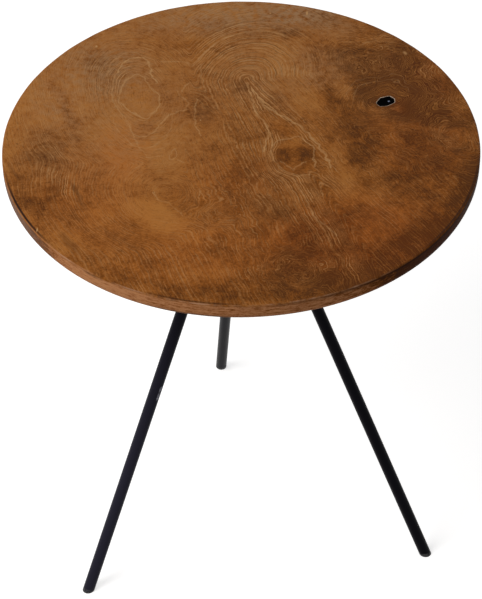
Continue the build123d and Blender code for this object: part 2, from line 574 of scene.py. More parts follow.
# What the parts of the mottling, and of the slab's side, do to the tone: a factor and an offset
MOTTLE_TONE = (1.25, -0.125)
BLOTCH_TONE = (0.95, -0.475)
FIBRE_TONE = (0.64, -0.32)
GRIT_TONE = (0.6, -0.3)
BRUSHED_TONE = (0.25, -0.125)
STREAK_TONE = (2.6, -0.93)
FLECK_TONE = (1.3, -0.42)
# Values of their noise at which lines, pores and patches begin and are whole
BROAD_EDGE = (1.1, 1.75)
FINE_EDGE = (0.5, 0.7)
DARK_EDGE = (0.53, 0.66)
PORE_EDGE = (0.6, 0.7)
PATCH_EDGE = (0.36, 0.6)
BLOTCH_EDGE = (0.3, 0.7)
# How places and patches change the lines' cover: a factor and an offset. Fibres and eyes do it by
# a smooth step: its two ends and its values there.
LINED_COVER = (0.75, 0.32)
PATCHY_COVER = (0.65, 0.42)
PLAIN_COVER = (-0.85, 1.0)
FIBRE_COVER = (0.36, 0.56, 0.3, 1.15)
EYE_COVER = (0.6, 1.0, 0.1, 1.0)
# Depths at which a zone of the slab's side begins, is whole, starts to fade and is gone
SIDE_ZONE = (0.9, 2.4, 14.0, 19.5)
ARRIS_ZONE = (0.02, 0.25, 0.9, 1.7)
GRIME_ZONE = (0.9, 1.7, 2.2, 5.0)
# Worn arris with a painted highlight, and dirt with painted shade, round the rim: where in their noise
# they begin and are whole
WEAR_HIGHLIGHT_EDGE = (0.36, 0.68)
SMUDGE_EDGE = (0.46, 0.74, 0.0, 0.7)
# Bends of the grain: the size of their lumps and their reach, which for the middle and the small
# bends is what full curling adds and what there is without it
WIDE_BEND = (85.0, 3.0)
MIDDLE_BEND_SIZE = 18.0
MIDDLE_BEND_REACH = (6.0, 1.1)
SMALL_BEND_SIZE = 6.0
SMALL_BEND_REACH = (0.7, 0.4)
TORN_BENDS = ((26.0, 6.0), (8.0, 2.0))
WAVY_BENDS = ((12.0, 1.6), (3.5, 0.5))
# Growth lines, fibres and pores: the shifts keep one kind of line clear of another's noise
LINE_SPACING = 3.0
BROAD_SHIFT = 900.0
DARK_SHIFT = 500.0
AGE_PER_DEPTH = 2.2
FIBRE_LENGTH = 12.0
FIBRES_PER_MM = 0.75
PORE_LENGTH = 5.0
PORES_PER_MM = 1.8
FAR_AWAY = 1000.0


def arch(mat, place, heart, lean, crown_lean, flatness):
    """Place across an arch's axis, distance below its heart, and reach from its heart or axis."""
    x, y, _ = mat.split(place)
    below = mat.positive(mat.less(heart[1], y))
    above = mat.positive(mat.less(y, heart[1]))
    axis_x = mat.linear(above, crown_lean, mat.linear(below, lean, heart[0]))
    across = mat.less(x, axis_x)
    return across, below, mat.length(mat.join(across, mat.times(above, flatness), 0.0))


def growth(mat, bent):
    """Age of the wood at a point: its level lines are the growth lines of the figure."""
    across, below, reach = arch(mat, bent, *ARCH)
    spread = mat.step(across, -ARCH_SEAM, ARCH_SEAM, *ARCH_SPREADS)
    age = mat.add(mat.less(reach, mat.times(below, spread)), ARCH_START)
    outer = mat.linear(arch(mat, bent, *OUTER_ARCH)[2], OUTER_RATE, OUTER_START)
    age = mat.math("SMOOTH_MIN", age, outer, EYE_BLEND)
    for *ellipse, depth, start in GROWTH_EYES:
        eye = mat.linear(mat.ellipse(bent, *ellipse), depth, start)
        age = mat.math("SMOOTH_MIN", age, eye, EYE_BLEND)
    return age


def ring_lines(mat, bent):
    """Share of pale line at a point, for the lines that stand alone."""
    total = 0.0
    for centre, halves, turn, width, strength, facing in RING_LINES:
        across, reach = mat.ellipse_place(bent, centre, halves, turn)
        off_line = mat.math("ABSOLUTE", mat.less(reach, 1.0))
        line = mat.fade(mat.times(off_line, sum(halves) / 2), LINE_CORE * width, width, strength)
        if facing is not None:
            side = math.radians(facing - turn)
            shown = mat.vector("DOT_PRODUCT", across, (math.cos(side), math.sin(side), 0.0))
            line = mat.times(line, mat.step(shown, *RING_END))
        total = mat.math("MAXIMUM", total, line)
    return total


def crooked_lines(mat, bent):
    """Share of pale line at a point, for the lines that run from corner to corner."""
    total = 0.0
    for width, strength, corners in CROOKED_LINES:
        nearest = FAR_AWAY
        for start, end in zip(corners, corners[1:]):
            run = Vector(end) - Vector(start)
            offset = mat.vector("SUBTRACT", bent, (*start, 0.0))
            along = mat.vector("DOT_PRODUCT", offset, (*(run / run.length_squared), 0.0))
            share = mat.math("MINIMUM", mat.positive(along), 1.0)
            away = mat.vector("SUBTRACT", offset, mat.scaled((*run, 0.0), share))
            nearest = mat.math("MINIMUM", nearest, mat.length(away))
        total = mat.math("MAXIMUM", total, mat.fade(nearest, LINE_CORE * width, width, strength))
    return total


def bent_places(mat, flat):
    """The place bent by the grain, the same torn up for blotches, and wavier for lines."""
    curl = mat.covered(flat, CURLY_PLACES)
    wide = mat.drift(flat, *WIDE_BEND)
    middle = mat.drift(flat, MIDDLE_BEND_SIZE, mat.linear(curl, *MIDDLE_BEND_REACH))
    small = mat.drift(flat, SMALL_BEND_SIZE, mat.linear(curl, *SMALL_BEND_REACH))
    bent = mat.shifted(flat, wide, middle, small)
    torn = mat.shifted(flat, *(mat.drift(flat, *bend) for bend in TORN_BENDS))
    wavy = mat.shifted(bent, *(mat.drift(flat, *bend) for bend in WAVY_BENDS))
    return bent, torn, wavy


def fibres(mat, flat, bent, x, age):
    """Fibres and open pores: along the growth lines, but straight up through the left-hand eye."""
    inside = mat.fade(mat.ellipse(bent, *GROWTH_EYES[0][:3]), 0.5, 0.95)
    fibre_age = mat.linear(inside, mat.less(x, age), age)

    def strands(length, per_mm):
        lift = mat.join(0.0, 0.0, mat.times(fibre_age, per_mm))
        return mat.shifted(mat.scaled(flat, 1 / length), lift)

    fibre = mat.noise(strands(FIBRE_LENGTH, FIBRES_PER_MM), 1.0, 3.0, 0.75)
    pore = mat.step(mat.noise(strands(PORE_LENGTH, PORES_PER_MM), 1.0, 1.0), *PORE_EDGE)
    return fibre, pore


def growth_lines(mat, age):
    """Broad pale lines about evenly spaced, finer ones between them, and thin dark ones."""
    swing = mat.linear(mat.noise_along(age, 7.0), 9.0, mat.times(age, 2 * math.pi / LINE_SPACING))
    weight = mat.noise_along(mat.add(age, BROAD_SHIFT), 2.6)
    broad = mat.step(mat.linear(weight, 1.6, mat.math("SINE", swing)), *BROAD_EDGE)
    fine = mat.step(mat.noise_along(age, 1.0, 1.0), *FINE_EDGE)
    dark = mat.step(mat.noise_along(mat.add(age, DARK_SHIFT), 2.0, 2.0, 0.6), *DARK_EDGE)
    return broad, fine, dark


def line_cover(mat, flat, bent, torn, patchy, fibre):
    """How much the growth lines show: hardly at all in the middle of the large eyes."""
    lined = mat.covered(torn, LINED_PLACES)
    plain = mat.covered(flat, PLAIN_PLACES)
    share = mat.times(mat.linear(lined, *LINED_COVER), mat.linear(patchy, *PATCHY_COVER))
    share = mat.times(share, mat.linear(plain, *PLAIN_COVER))
    share = mat.times(share, mat.step(fibre, *FIBRE_COVER))
    for eye in GROWTH_EYES[:2]:
        share = mat.times(share, mat.step(mat.ellipse(bent, *eye[:3]), *EYE_COVER))
    return share


def ground_tone(mat, flat, bent, torn, blotch, fibre):
    """Lightness of the mottled ground, from 0 for the darkest wood to 1."""
    x, y, _ = mat.split(flat)
    mottle = mat.noise(bent, MOTTLE_SIZE, 5.0, 0.62)
    grit = mat.noise(flat, GRIT_SIZE, 1.0)
    stroke = tuple(1 / size for size in BRUSH_STROKE) + (1.0,)
    brushed = mat.noise(mat.vector("MULTIPLY", mat.turned(flat, BRUSHED_TURN), stroke), 1.0, 3.0)
    return mat.add(
        mat.linear(mottle, *MOTTLE_TONE),
        mat.linear(blotch, *BLOTCH_TONE),
        mat.linear(fibre, *FIBRE_TONE),
        mat.linear(grit, *GRIT_TONE),
        mat.linear(brushed, *BRUSHED_TONE),
        # Painted shade towards the right and painted sheen towards the back
        mat.times(x, -RIGHT_SHADE_SLOPE),
        mat.times(y, BACK_SHEEN_SLOPE),
        mat.spots(torn, GOLDEN_PLACES),
        mat.times(mat.spots(torn, DARK_PLACES), -1.0),
        mat.times(mat.spots(bent, HEART_PLACES), -1.0),
    )


def ground_colour(mat, torn, tone, blotch):
    """Mottled browns, redder, greyer and dustier in places, with painted sheen in the greyer and dustier
    places towards the back.
    """
    ground = mat.ramp(tone, GROUND_STOPS)
    red_tone = mat.ramp(tone, ((0.0, RED_DARKENED), (0.85, RED_LIGHTENED)))
    red_share = mat.times(mat.covered(torn, RED_PLACES), 0.85)
    ground = mat.mix(red_share, ground, mat.mix(1.0, WOOD_RED, red_tone, "MULTIPLY"))
    patchwork = mat.step(blotch, *BLOTCH_EDGE)
    # Greyer wood and painted sheen
    ground = mat.over(ground, WOOD_GREY, mat.spots(torn, GREY_AND_SHEEN_PLACES), patchwork, 0.8)
    # Paler, dustier wood and painted sheen
    return mat.over(ground, WOOD_DUST_AND_SHEEN, mat.spots(torn, DUSTY_AND_SHEEN_PLACES), patchwork)


def slab_side(mat, colour, flat, depth):
    """The slab's side: plainer, with painted light and shade in stretches, a painted reflection, a worn
    arris with a painted highlight, dirt and painted shade under it, and a dark line of dirt and painted
    shade in places.
    """
    x, y, _ = mat.split(flat)
    bearing = mat.math("ARCTAN2", y, x)
    side = mat.band(depth, *SIDE_ZONE)
    streak_place = mat.join(mat.times(bearing, 24.0), mat.times(depth, 0.5), 0.0)
    streak = mat.noise(streak_place, 1.0, 5.0, 0.7)
    slant = mat.linear(bearing, 110.0, mat.times(depth, 0.5))
    fleck = mat.noise(mat.join(slant, mat.times(depth, 0.9), 0.0), 1.0, 3.0, 0.7)
    # Painted shade on the rim's darker stretches, partly darker wood, and painted light on its golden
    # ones
    dark = mat.spots(flat, RIM_SHADE_PLACES)
    tone = mat.add(
        mat.linear(streak, *STREAK_TONE),
        mat.linear(fleck, *FLECK_TONE),
        mat.spots(flat, RIM_LIT_PLACES),
        mat.times(dark, -0.9),
    )
    rim = mat.ramp(tone, RIM_STOPS)
    # Painted reflection of the white surroundings on the left of the rim
    rim = mat.mix(mat.spots(flat, RIM_REFLECTION_PLACES), rim, RIM_REFLECTION_GREY)
    colour = mat.over(colour, rim, side, 0.88)

    # Pale arris: wear and a painted highlight, left out where the rim has painted shade
    wear_and_highlight = mat.step(mat.noise_along(mat.times(bearing, 5.0), 1.0, 5.0, 0.65), *WEAR_HIGHLIGHT_EDGE)
    wear_and_highlight = mat.times(wear_and_highlight, mat.positive(mat.less(1.0, dark)))
    arris = mat.band(depth, *ARRIS_ZONE)
    colour = mat.over(colour, ARRIS_HIGHLIGHT, arris, wear_and_highlight, 0.7)

    # Dirt and painted shade just under the arris
    smudge = mat.noise_along(mat.times(bearing, 4.0), 1.0, 4.0, 0.65)
    smudge = mat.step(smudge, *SMUDGE_EDGE)
    grime_and_shade = mat.math("MINIMUM", mat.add(mat.spots(flat, GRIME_AND_SHADE_PLACES), smudge), 1.0)
    below_arris = mat.band(depth, *GRIME_ZONE)
    colour = mat.over(colour, WOOD_DIRT_AND_SHADE, below_arris, grime_and_shade, 0.8)

    # A dark line of dirt and painted shade on the arris
    off_line = mat.less(mat.length(flat), DARK_LINE_RADIUS)
    line = mat.fade(mat.math("ABSOLUTE", off_line), 0.5, 1.5)
    return mat.mix(mat.times(line, mat.spots(flat, DARK_LINE_PLACES)), colour, WOOD_DIRT_AND_SHADE)


def figured_wood():
    """Oiled, old teak root: eyes, arches and curls of pale growth lines over mottled browns."""
    mat = Shade("figured_wood")
    place = mat.object_mm(TOP_HIGH.z)
    x, _, z = mat.split(place)
    depth = mat.positive(mat.times(z, -1.0))
    flat = mat.vector("MULTIPLY", place, (1.0, 1.0, 0.0))
    bent, torn, wavy = bent_places(mat, flat)
    age = mat.add(growth(mat, bent), mat.times(depth, AGE_PER_DEPTH))
    fibre, pore = fibres(mat, flat, bent, x, age)
    broad, fine, dark = growth_lines(mat, age)
    patchy = mat.step(mat.noise(bent, PATCH_SIZE, 3.0), *PATCH_EDGE)
    cover = line_cover(mat, flat, bent, torn, patchy, fibre)
    single = mat.math("MAXIMUM", ring_lines(mat, wavy), crooked_lines(mat, wavy))
    single = mat.times(single, mat.step(fibre, 0.34, 0.54, 0.55, 1.0))

    blotch = mat.noise(mat.vector("ADD", bent, BLOTCH_SHIFT), BLOTCH_SIZE, 5.0, 0.68)
    tone = ground_tone(mat, flat, bent, torn, blotch, fibre)
    colour = ground_colour(mat, torn, tone, blotch)
    colour = mat.over(colour, WOOD_UMBER, dark, cover, 0.65)
    line_colour = mat.ramp(tone, ((0.0, WOOD_GOLD), (0.5, WOOD_PALE)))
    colour = mat.over(colour, line_colour, fine, cover, 0.4)
    colour = mat.over(colour, line_colour, broad, cover, 0.6)
    colour = mat.over(colour, WOOD_PALE, single, mat.linear(patchy, 0.4, 0.6), 0.72)
    colour = mat.over(colour, WOOD_UMBER, pore, 0.5)
    colour = slab_side(mat, colour, flat, depth)
    colour = mat.mix(mat.covered(bent, DARK_STREAKS), colour, WOOD_UMBER)
    colour = mat.mix(mat.covered(flat, PALE_CHIPS), colour, WOOD_PALE)

    height = mat.add(mat.times(broad, 0.15), mat.times(fibre, 0.6), mat.times(pore, -1.0))
    rough = mat.add(
        mat.linear(mat.noise(flat, 40.0, 3.0), 0.2, 0.38),
        mat.times(pore, 0.15),
        mat.times(fibre, 0.08),
    )
    return mat.finish({
        "Base Color": colour,
        "Roughness": rough,
        "Specular IOR Level": mat.step(depth, 0.02, 0.4, TOP_SPECULAR, SIDE_SPECULAR),
        "Normal": mat.bump(height, 0.35, 0.12 * MM),
    })


LIP_DARK = (0.14, 0.09, 0.06)
LIP_BROWN = (0.34, 0.25, 0.18)
LIP_PALE = (0.50, 0.40, 0.30)


def bare_lip():
    """Pale bare wood on the lip round the knot."""
    mat = Shade("bare_lip")
    place = mat.object_mm(TOP_HIGH.z)
    grain = mat.noise(place, 1.4, 4.0, 0.6)
    return mat.finish({
        "Base Color": mat.ramp(grain, ((0.3, LIP_DARK), (0.5, LIP_BROWN), (0.7, LIP_PALE))),
        "Roughness": mat.linear(grain, 0.3, 0.4),
        "Specular IOR Level": 0.3,
        "Normal": mat.bump(grain, 0.4, 0.1 * MM),
    })


RESIN_BLACK = (0.0003, 0.0003, 0.0005)
RESIN_HAZE = (0.0010, 0.0008, 0.0008)
RESIN_BUBBLE_HIGHLIGHT = (0.16, 0.19, 0.30)
RESIN_BUBBLE_MM = (148.8, 41.7)
RESIN_BUBBLE_HALVES_MM = (1.5, 1.3)


def black_resin():
    """Cured black resin: glossy, with a few fine scratches, a slight haze and a bubble whose highlight
    is partly painted into its colour.
    """
    mat = Shade("black_resin")
    place = mat.object_mm(TOP_HIGH.z)
    haze = mat.noise(place, 5.0, 3.0)
    scratch_place = mat.vector("MULTIPLY", place, (0.4, 6.0, 1.0))
    scratch = mat.step(mat.noise(scratch_place, 1.6, 2.0), 0.62, 0.7)
    flat = mat.vector("MULTIPLY", place, (1.0, 1.0, 0.0))
    bubble = mat.fade(mat.ellipse(flat, RESIN_BUBBLE_MM, RESIN_BUBBLE_HALVES_MM), 0.2, 1.0)
    ripple = mat.bump(haze, 0.15, 0.2 * MM)
    black = mat.mix(haze, RESIN_BLACK, RESIN_HAZE)
    return mat.finish({
        # Painted highlight: the bubble's colour is a pale blue
        "Base Color": mat.mix(mat.times(bubble, 0.8), black, RESIN_BUBBLE_HIGHLIGHT),
        "Roughness": mat.add(mat.linear(haze, 0.10, 0.05), mat.times(scratch, 0.12)),
        "Specular IOR Level": mat.linear(bubble, 0.5, 0.004),
        "Normal": mat.bump(bubble, 0.6, 0.4 * MM, ripple),
    })


# Chips in the left leg's paint: heights above the floor, half lengths along the bar and strengths.
# They lie beside the bar's axis, which leans in by a share of its height.
FOOT_LEFT_MM = [value / MM for value in frame["record"]["mounts"][2]["pos_m"]]
BAR_LEAN_SHARE = 0.408
CHIP_OFFSET_MM = (3.3, -4.9)
CHIP_RADIUS_MM = 1.9
PAINT_CHIPS_MM = ((241.0, 3.5, 0.8), (233.0, 5.0, 1.0))
BARE_STEEL = (0.30, 0.30, 0.35)
# The powder coat's own black, mottled between two values, and what dulls and lightens it: dust with
# painted light, scuffs, and rubbed paint with a painted highlight
COAT_BLACK = (0.0012, 0.0010, 0.0022)
COAT_CLOUD = (0.0028, 0.0024, 0.0048)
COAT_DUST_AND_LIGHT = (0.019, 0.018, 0.030)
COAT_SCUFF = (0.03, 0.03, 0.035)
COAT_RUBBED_HIGHLIGHT = (0.12, 0.12, 0.12)
# Heights at which the rubbed foot with its painted highlight begins, is whole, starts to fade and is
# gone
COAT_FOOT_MM = (2.2, 2.6, 3.4, 5.0)
# The dust and painted light thin out upwards, and from the left to the right
DUST_AND_LIGHT_HEIGHTS_MM = (120.0, 420.0)
DUST_AND_LIGHT_WIDTHS_MM = (-90.0, -30.0)


def paint_chips(mat, place, z):
    """Share of bare, scratched steel on the left leg."""
    foot = Vector(FOOT_LEFT_MM)
    inward = -foot.normalized() * BAR_LEAN_SHARE
    axis_x = mat.linear(z, inward.x, foot.x + CHIP_OFFSET_MM[0])
    axis_y = mat.linear(z, inward.y, foot.y + CHIP_OFFSET_MM[1])
    away = mat.length(mat.vector("SUBTRACT", place, mat.join(axis_x, axis_y, z)))
    near = mat.fade(away, 0.5 * CHIP_RADIUS_MM, CHIP_RADIUS_MM)
    total = 0.0
    for height, half_length, strength in PAINT_CHIPS_MM:
        off = mat.math("ABSOLUTE", mat.less(z, height))
        total = mat.add(total, mat.fade(off, 0.6 * half_length, half_length, strength))
    ragged = mat.step(mat.noise(place, 1.6, 3.0, 0.7), 0.38, 0.55)
    return mat.times(near, total, ragged)


def powder_coat():
    """Satin black powder coat on steel: fine orange peel, rubbed ends with a painted highlight, a few
    chips, and dust with painted light low on the left leg.
    """
    mat = Shade("black_powder_coat")
    place = mat.object_mm()
    x, _, z = mat.split(place)
    peel = mat.noise(place, 0.9)
    cloud = mat.noise(place, 22.0, 3.0)
    scuff_place = mat.vector("MULTIPLY", place, (1.0, 1.0, 0.12))
    scuff = mat.step(mat.noise(scuff_place, 2.6, 3.0, 0.65), 0.63, 0.74)
    # Rubbed paint and a painted highlight round the bar's lower end
    foot = mat.band(z, *COAT_FOOT_MM)
    rubbed_and_highlight = mat.times(foot, mat.step(mat.noise(place, 3.0, 3.0), 0.4, 0.6))
    # Dust and painted light low on the left leg
    dust_and_light = mat.times(mat.fade(z, *DUST_AND_LIGHT_HEIGHTS_MM), mat.fade(x, *DUST_AND_LIGHT_WIDTHS_MM))
    colour = mat.mix(cloud, COAT_BLACK, COAT_CLOUD)
    colour = mat.over(colour, COAT_DUST_AND_LIGHT, dust_and_light, 0.85)
    colour = mat.over(colour, COAT_SCUFF, scuff, 0.2)
    colour = mat.mix(paint_chips(mat, place, z), colour, BARE_STEEL)
    colour = mat.over(colour, COAT_RUBBED_HIGHLIGHT, rubbed_and_highlight, 0.5)
    return mat.finish({
        "Base Color": colour,
        "Roughness": mat.add(mat.linear(cloud, 0.14, 0.26), mat.times(scuff, 0.12)),
        "Specular IOR Level": 0.03,
        "Normal": mat.bump(peel, 0.22, 0.06 * MM),
    })


ZINC_STAINED = (0.34, 0.33, 0.30)
ZINC_CLEAN = (0.62, 0.61, 0.57)


def zinc_plate():
    """Zinc-plated steel of the screws and studs."""
    mat = Shade("zinc_plate")
    place = mat.object_mm()
    spangle = mat.noise(place, 1.1, 3.0, 0.6)
    return mat.finish({
        "Base Color": mat.mix(mat.noise(place, 4.0, 3.0), ZINC_STAINED, ZINC_CLEAN),
        "Metallic": 1.0,
        "Roughness": mat.linear(spangle, 0.3, 0.2),
        "Normal": mat.bump(spangle, 0.2, 0.05 * MM),
    })


NYLON_BLACK = (0.010, 0.010, 0.011)
NYLON_GRIT = (0.024, 0.024, 0.025)
NYLON_SCUFFED = (0.09, 0.088, 0.085)


def glide_nylon():
    """Matt black nylon of the foot glides, scuffed grey where it slides."""
    mat = Shade("glide_nylon")
    place = mat.object_mm()
    z = mat.split(place)[2]
    grit = mat.noise(place, 0.7, 3.0, 0.6)
    scuffed = mat.times(mat.fade(z, 0.0, 0.7), mat.step(mat.noise(place, 2.2, 3.0), 0.4, 0.62))
    colour = mat.mix(grit, NYLON_BLACK, NYLON_GRIT)
    return mat.finish({
        "Base Color": mat.mix(mat.times(scuffed, 0.5), colour, NYLON_SCUFFED),
        "Roughness": mat.linear(grit, 0.25, 0.5),
        "Specular IOR Level": 0.35,
        "Normal": mat.bump(grit, 0.25, 0.06 * MM),
    })


def make_object(name, bm, materials, nodes=()):
    """Turn a bmesh into a named piece that rides with the table."""
    mesh = bpy.data.meshes.new(name)
    bmesh.ops.recalc_face_normals(bm, faces=bm.faces)
    bm.to_mesh(mesh)
    bm.free()
    piece = bpy.data.objects.new(name, mesh)
    bpy.context.scene.collection.objects.link(piece)
    for material in materials:
        mesh.materials.append(material)
    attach(piece, "root")
    if nodes:
        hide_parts(*nodes)


def bridge(bm, lower, upper, material=0, smooth=True):
    """Quads between two closed loops with as many vertices each."""
    count = len(lower)
    for i in range(count):
        j = (i + 1) % count
        face = bm.faces.new((lower[i], lower[j], upper[j], upper[i]))
        face.material_index = material
        face.smooth = smooth


def loop(bm, points):
    """New vertices at the points."""
    return [bm.verts.new(point) for point in points]


def fill(bm, loops, spare_points, z):
    """Flat face between closed loops, the first of them outermost, with spare points inside."""
    verts = [vert for ring in loops for vert in ring]
    places = [vert.co.xy for vert in verts] + spare_points
    rings = []
    for ring in loops:
        start = sum(map(len, rings))
        rings.append(list(range(start, start + len(ring))))
    rings[1:] = [ring[::-1] for ring in rings[1:]]
    points, _, faces, sources, _, _ = delaunay_2d_cdt(places, [], rings, WITHOUT_HOLES, POINT_MERGE)
    made = []
    for point, origins in zip(points, sources):
        known = [origin for origin in origins if origin < len(verts)]
        made.append(verts[known[0]] if known else bm.verts.new((*point, z)))
    for face in faces:
        bm.faces.new([made[index] for index in face])


def angles(count):
    """Angles evenly round a circle."""
    return [2 * math.pi * i / count for i in range(count)]


def wander(bearing, swings, seed):
    """Smooth noise from -1 to 1 round a circle, with about as many swings."""
    return noise.noise(Vector((swings * math.cos(bearing), swings * math.sin(bearing), seed)) * 0.5)


def level_corners(name, z):
    """The corners of a CAD node that lie at a height."""
    return [v.co for v in frame["nodes"][name].data.vertices if abs(v.co.z - z) < SAME_LEVEL]


def knot_outline():
    """The knot's outline at the resin's upper face, in order round its middle."""
    low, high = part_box("knot_fill")
    middle = (low + high) / 2
    points = {(round(c.x, 7), round(c.y, 7)) for c in level_corners("knot_fill", high.z)}
    ordered = sorted(points, key=lambda p: math.atan2(p[1] - middle.y, p[0] - middle.x))
    return [Vector((x, y, high.z)) for x, y in ordered], middle, low.z


def rim_profile(bearing):
    """Section of the rim at a bearing, from the top's flat to the underside: radii and drops."""
    arris = ARRIS_WIDTH + ARRIS_WANDER * wander(bearing, *ARRIS_WAVES)
    inset = RIM_WANDER * (0.5 + 0.5 * wander(bearing, *RIM_WAVES))
    radius = TOP_RADIUS - inset
    side_end = TOP_THICKNESS - UNDER_EDGE_RADIUS
    profile = []
    for step in range(ARRIS_STEPS + 1):
        turn = math.pi / 2 * step / ARRIS_STEPS
        profile.append((radius - arris + arris * math.sin(turn), -arris + arris * math.cos(turn)))
    profile.append((radius, -side_end / 2))
    for step in range(UNDER_EDGE_STEPS + 1):
        turn = math.pi / 2 * step / UNDER_EDGE_STEPS
        out = TOP_RADIUS - UNDER_EDGE_RADIUS + (UNDER_EDGE_RADIUS - inset) * math.cos(turn)
        profile.append((out, -side_end - UNDER_EDGE_RADIUS * math.sin(turn)))
    return profile


def rim_loops(bm):
    """Closed loops of vertices round the rim, from the top's flat down to the underside."""
    sections = []
    for bearing in angles(RIM_SEGMENTS):
        c, s = math.cos(bearing), math.sin(bearing)
        profile = rim_profile(bearing)
        sections.append(loop(bm, [(out * c, out * s, TOP_HIGH.z + drop) for out, drop in profile]))
    return list(zip(*sections))


def knot_pocket(bm):
    """The knot's pocket and bare lip. Returns the lip's outer edge and the knot's middle."""
    outline, middle, floor_z = knot_outline()
    edge = []
    for point in outline:
        away = Vector((*(point - middle).xy, 0.0))
        width = LIP_WIDTH + LIP_WANDER * wander(math.atan2(away.y, away.x), *LIP_WAVES)
        edge.append((*(point + away.normalized() * width).xy, TOP_HIGH.z))
    lip_outer = loop(bm, edge)
    lip_inner = loop(bm, [(p.x, p.y, TOP_HIGH.z - LIP_DEPTH) for p in outline])
    pocket_low = loop(bm, [(p.x, p.y, floor_z) for p in outline])
    bridge(bm, lip_inner, lip_outer, material=1)
    bridge(bm, pocket_low, lip_inner, material=1)
    bm.faces.new(pocket_low)
    return lip_outer, middle


def top_slab():
    """The round top: worn arris, round under edge, and the knot's pocket with its bare lip."""
    bm = bmesh.new()
    rings = rim_loops(bm)
    for upper, lower in zip(rings, rings[1:]):
        bridge(bm, lower, upper)
    lip, knot_middle = knot_pocket(bm)
    spare = []
    for share in SPARE_SHARES:
        for i in range(SPARE_COUNT):
            turn = 2 * math.pi * (i + share) / SPARE_COUNT
            spot = Vector((math.cos(turn), math.sin(turn))) * TOP_RADIUS * share
            if (spot - knot_middle.xy).length > SPARE_CLEARANCE:
                spare.append(spot)
    fill(bm, [rings[0], lip], spare, TOP_HIGH.z)
    bm.faces.new(rings[-1][::-1])
    make_object("top_slab", bm, (WOOD, LIP), ("table_top",))


def knot_resin():
    """Black resin in the knot: a skin that dips in the middle and creeps up the wall."""
    outline, middle, floor_z = knot_outline()
    bm = bmesh.new()
    half_width = min((p.xy - middle.xy).length for p in outline)
    shrink = 1 - RESIN_GAP / half_width
    rings = []
    for share, rise in RESIN_SKIN:
        ring = []
        for point in outline:
            flat = middle.xy + (point.xy - middle.xy) * share * shrink
            ripple = RESIN_RIPPLE * noise.noise(Vector((*flat, 0.0)) / RESIN_RIPPLE_SIZE)
            ring.append((*flat, point.z + rise + ripple * (1 - share)))
        rings.append(loop(bm, ring))
    floor = [middle.xy + (p.xy - middle.xy) * shrink for p in outline]
    foot = loop(bm, [(*spot, floor_z + RESIN_GAP) for spot in floor])
    bridge(bm, foot, rings[0])
    for outer, inner in zip(rings, rings[1:]):
        bridge(bm, outer, inner)
    bm.faces.new(rings[-1]).smooth = True
    bm.faces.new(foot[::-1])
    make_object("resin_fill", bm, (RESIN,), ("knot_fill",))


def socket_mouth(side):
    """Where a socket meets the plate: that ellipse's middle, its two directions and half sizes."""
    rim = level_corners("leg_socket_" + side, PLATE_LOW.z)
    middle = sum(rim, Vector()) / len(rim)
    spread = [(point - middle).xy for point in rim]
    outward = middle.xy.normalized()
    across = Vector((-outward.y, outward.x))
    lowest = min(p.dot(outward) for p in spread)
    highest = max(p.dot(outward) for p in spread)
    centre = middle.xy + outward * (lowest + highest) / 2
    return centre, outward, across, (highest - lowest) / 2, max(p.dot(across) for p in spread)


def weld_bead(side):
    """Rippled weld bead in the corner between a socket and the plate."""
    centre, outward, across, long_half, short_half = socket_mouth(side)
    bm = bmesh.new()
    sections = []
    for turn in angles(BEAD_SEGMENTS):
        direction = outward * math.cos(turn) * long_half + across * math.sin(turn) * short_half
        normal = outward * math.cos(turn) / long_half + across * math.sin(turn) / short_half
        normal.normalize()
        ripple = BEAD_RIPPLE * math.cos(turn * BEAD_RIPPLES)
        size = BEAD_RADIUS + ripple + BEAD_WANDER * wander(turn, *BEAD_WAVES)
        seat = centre + direction + normal * BEAD_STAND_OFF
        spine = Vector((*seat, PLATE_LOW.z - BEAD_STAND_OFF))
        ring = []
        for angle in angles(BEAD_SIDES):
            ring.append(spine + Vector((*(normal * math.cos(angle) * size), math.sin(angle) * size)))
        sections.append(loop(bm, ring))
    for i, ring in enumerate(sections):
        bridge(bm, ring, sections[(i + 1) % BEAD_SEGMENTS])
    make_object("weld_bead_" + side, bm, (STEEL,))


def plate_screws():
    """Three countersunk screws with a cross recess, seen from below the plate."""
    low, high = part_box("plate_screws")
    centres = []
    for tip in level_corners("plate_screws", high.z):
        if all((tip.xy - known).length > MM for known in centres):
            centres.append(tip.xy.copy())
    head_radius, shank_radius = (
        max(corner.xy.length for corner in level_corners("plate_screws", z)) - centres[0].length
        for z in (low.z, PLATE_HIGH.z)
    )
    bm = bmesh.new()
    for number, centre in enumerate(centres):
        turn = SCREW_FIRST_TURN + SCREW_TURN_STEP * number
        one_screw(bm, centre, head_radius, shank_radius, low.z, high.z, turn)
    make_object("cross_head_screws", bm, (ZINC,), ("plate_screws",))


